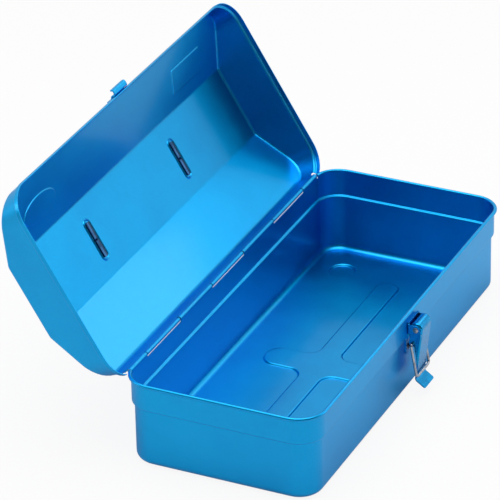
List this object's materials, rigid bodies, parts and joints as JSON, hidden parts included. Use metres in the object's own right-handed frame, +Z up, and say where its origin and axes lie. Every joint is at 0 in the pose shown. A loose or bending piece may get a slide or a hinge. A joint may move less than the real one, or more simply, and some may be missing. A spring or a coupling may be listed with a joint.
{
  "type": "portable tool box",
  "caption": "Small portable sheet steel tool box: a stepped open tray, a hinged hip-roofed lid standing open, a lever latch with wire loop on the front and a folding handle on the lid.",
  "frame": {"origin": "the middle of the underside of the box that bounds the part as it stands open: 40.65 mm behind the midpoint of the four pressed feet, on the surface that they stand on", "axes": "+X along the box, to the right when the latch is in front; -Y towards the latch, +Y towards the hinge; +Z up"},
  "size_m": [0.373, 0.2634, 0.2114],
  "materials": {
    "tray_paint": "satin blue metallic paint on sheet steel",
    "lid_paint": "satin blue metallic paint on sheet steel",
    "keeper_paint": "satin blue metallic paint",
    "latch_paint": "satin blue metallic paint, worn at the edges",
    "grip_paint": "satin blue paint on a rolled steel sleeve",
    "pin_steel": "plain drawn steel wire",
    "rivet_steel": "set rivet heads, zinc plated",
    "wire_steel": "zinc-plated spring wire",
    "clip_steel": "dark zinc-plated strap",
    "rod_steel": "bright plated rod"
  },
  "bodies": {
    "box": {"body_shell": "tray_paint", "hinge_pin": "pin_steel", "latch_base": "latch_paint", "latch_rivets": "rivet_steel", "lever_pin": "pin_steel"},
    "lid": {"lid_shell": "lid_paint", "keeper": "keeper_paint", "handle_clip_left": "clip_steel", "handle_clip_right": "clip_steel"},
    "lever": {"latch_lever": "latch_paint"},
    "loop": {"latch_loop": "wire_steel"},
    "handle": {"handle_bail": "rod_steel", "handle_grip": "grip_paint"}
  },
  "joints": [
    {"name": "lid_hinge", "type": "hinge", "parent": "box", "child": "lid", "pos_m": [0, 0.03735, 0.0705], "axis": [1, 0, 0], "range_deg": [0, 121.5]},
    {"name": "latch_lever", "type": "hinge", "parent": "box", "child": "lever", "pos_m": [0, -0.12405, 0.058], "axis": [-1, 0, 0], "range_deg": [0, 90]},
    {"name": "latch_loop", "type": "hinge", "parent": "lever", "child": "loop", "pos_m": [0, -0.12105, 0.0455], "axis": [-1, 0, 0], "range_deg": [0, 88]},
    {"name": "handle_fold", "type": "hinge", "parent": "lid", "child": "handle", "pos_m": [0, 0.11543, 0.11413], "axis": [1, 0, 0], "range_deg": [-33, 150]}
  ]
}
